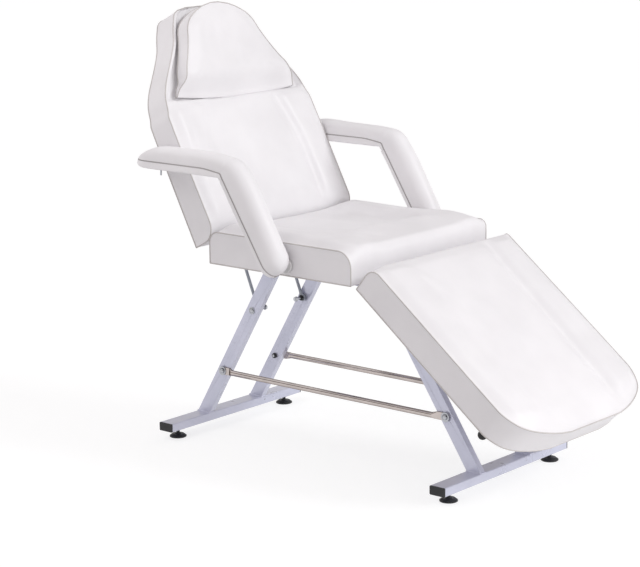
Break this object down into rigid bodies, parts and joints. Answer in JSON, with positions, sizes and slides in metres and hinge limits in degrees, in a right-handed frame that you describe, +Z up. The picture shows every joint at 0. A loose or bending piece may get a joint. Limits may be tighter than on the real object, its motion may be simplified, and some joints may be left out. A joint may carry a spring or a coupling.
{
  "type": "reclining treatment chair",
  "caption": "Adjustable three-section treatment chair with hinged back, headrest and leg rest, swinging arms and a splayed tube base on levelling feet.",
  "frame": {"origin": "on the floor, midway between the head end and the foot end and between the arms", "axes": "+X towards the foot end, +Y towards the sitter's left, +Z up"},
  "size_m": [1.4438, 0.778, 1.2469],
  "materials": {
    "upholstery": "white leather-cloth over foam, soft sheen",
    "frame_paint": "glossy silver-lavender paint",
    "chrome": "polished",
    "zinc_steel": "zinc plated",
    "black_plastic": "satin",
    "black_rubber": "matte",
    "white_plastic": "glossy",
    "plywood": "bare plywood"
  },
  "bodies": {
    "base": {"rear_rail": "frame_paint", "front_rail": "frame_paint", "rail_end_caps": "black_plastic", "left_rear_leg": "frame_paint", "right_rear_leg": "frame_paint", "left_front_leg": "frame_paint", "right_front_leg": "frame_paint", "left_foot_rod": "chrome", "right_foot_rod": "chrome", "leg_bolts": "zinc_steel", "rod_washers": "chrome", "leg_nuts": "black_plastic", "strut_spacers": "black_plastic", "seat_cross_tubes": "frame_paint", "seat_side_tubes": "frame_paint", "seat_board": "plywood", "seat_cushion": "upholstery", "arm_brackets": "zinc_steel", "arm_bolts": "zinc_steel", "arm_nuts": "zinc_steel", "arm_spacers": "white_plastic", "back_hinge_ears": "zinc_steel", "back_hinge_pins": "zinc_steel", "leg_hinge_ears": "zinc_steel", "leg_hinge_pins": "zinc_steel"},
    "back": {"back_side_tubes": "frame_paint", "back_cross_tubes": "frame_paint", "back_board": "plywood", "back_cushion": "upholstery", "back_hinge_plates": "zinc_steel", "arm_guide_plates": "zinc_steel", "strut_lugs": "zinc_steel", "strut_pins": "zinc_steel", "headrest_hinge_base": "zinc_steel"},
    "headrest": {"headrest_board": "plywood", "headrest_cushion": "upholstery", "headrest_hinge_leaves": "zinc_steel"},
    "leg_rest": {"leg_board": "plywood", "leg_cushion": "upholstery", "leg_side_tubes": "frame_paint", "leg_cross_tube": "frame_paint", "leg_hinge_plates": "zinc_steel", "leg_bumpers": "black_rubber"},
    "left_arm": {"left_arm_board": "plywood", "left_arm_pad": "upholstery", "left_arm_bush": "white_plastic", "left_arm_guide_pin": "zinc_steel"},
    "right_arm": {"right_arm_board": "plywood", "right_arm_pad": "upholstery", "right_arm_bush": "white_plastic", "right_arm_guide_pin": "zinc_steel"},
    "left_strut_rod": {"left_strut_rod": "chrome"},
    "right_strut_rod": {"right_strut_rod": "chrome"},
    "left_strut_tube": {"left_strut_tube": "black_plastic"},
    "right_strut_tube": {"right_strut_tube": "black_plastic"},
    "rear_left_foot": {"rear_left_foot": "black_plastic"},
    "rear_right_foot": {"rear_right_foot": "black_plastic"},
    "front_left_foot": {"front_left_foot": "black_plastic"},
    "front_right_foot": {"front_right_foot": "black_plastic"}
  },
  "joints": [
    {"name": "back_recline", "type": "hinge", "parent": "base", "child": "back", "pos_m": [-0.3946, 0, 0.57], "axis": [0, -1, 0], "range_deg": [0, 62.1]},
    {"name": "leg_rest_tilt", "type": "hinge", "parent": "base", "child": "leg_rest", "pos_m": [0.155, 0, 0.552], "axis": [0, -1, 0], "range_deg": [-16, 38.2]},
    {"name": "headrest_tilt", "type": "hinge", "parent": "back", "child": "headrest", "pos_m": [-0.5421, 0, 0.98749], "axis": [0, 1, 0], "range_deg": [0, 40]},
    {"name": "left_arm_swing", "type": "hinge", "parent": "base", "child": "left_arm", "pos_m": [-0.07997, 0.351, 0.58488], "axis": [0, -1, 0], "range_deg": [0, 33.6]},
    {"name": "left_strut_swing", "type": "hinge", "parent": "base", "child": "left_strut_rod", "pos_m": [-0.37181, 0.098, 0.386], "axis": [0, -1, 0], "range_deg": [0, 32.4]},
    {"name": "left_strut_tube_swing", "type": "hinge", "parent": "back", "child": "left_strut_tube", "pos_m": [-0.50975, 0.098, 0.72764], "axis": [0, -1, 0], "range_deg": [-30.2, 0]},
    {"name": "right_arm_swing", "type": "hinge", "parent": "base", "child": "right_arm", "pos_m": [-0.07997, -0.351, 0.58488], "axis": [0, -1, 0], "range_deg": [0, 33.6]},
    {"name": "right_strut_swing", "type": "hinge", "parent": "base", "child": "right_strut_rod", "pos_m": [-0.37181, -0.098, 0.386], "axis": [0, -1, 0], "range_deg": [0, 32.4]},
    {"name": "right_strut_tube_swing", "type": "hinge", "parent": "back", "child": "right_strut_tube", "pos_m": [-0.50975, -0.098, 0.72764], "axis": [0, -1, 0], "range_deg": [-30.2, 0]},
    {"name": "rear_left_foot_level", "type": "slide", "parent": "base", "child": "rear_left_foot", "axis": [0, 0, 1], "range_m": [-0.006, 0.008]},
    {"name": "rear_right_foot_level", "type": "slide", "parent": "base", "child": "rear_right_foot", "axis": [0, 0, 1], "range_m": [-0.006, 0.008]},
    {"name": "front_left_foot_level", "type": "slide", "parent": "base", "child": "front_left_foot", "axis": [0, 0, 1], "range_m": [-0.006, 0.008]},
    {"name": "front_right_foot_level", "type": "slide", "parent": "base", "child": "front_right_foot", "axis": [0, 0, 1], "range_m": [-0.006, 0.008]}
  ],
  "couplings": [
    {"joint": "left_arm_swing", "follows": "back_recline", "ratio": 0.54},
    {"joint": "left_strut_swing", "follows": "back_recline", "ratio": 0.5181},
    {"joint": "left_strut_tube_swing", "follows": "back_recline", "ratio": -0.4819},
    {"joint": "right_arm_swing", "follows": "back_recline", "ratio": 0.54},
    {"joint": "right_strut_swing", "follows": "back_recline", "ratio": 0.5181},
    {"joint": "right_strut_tube_swing", "follows": "back_recline", "ratio": -0.4819}
  ]
}
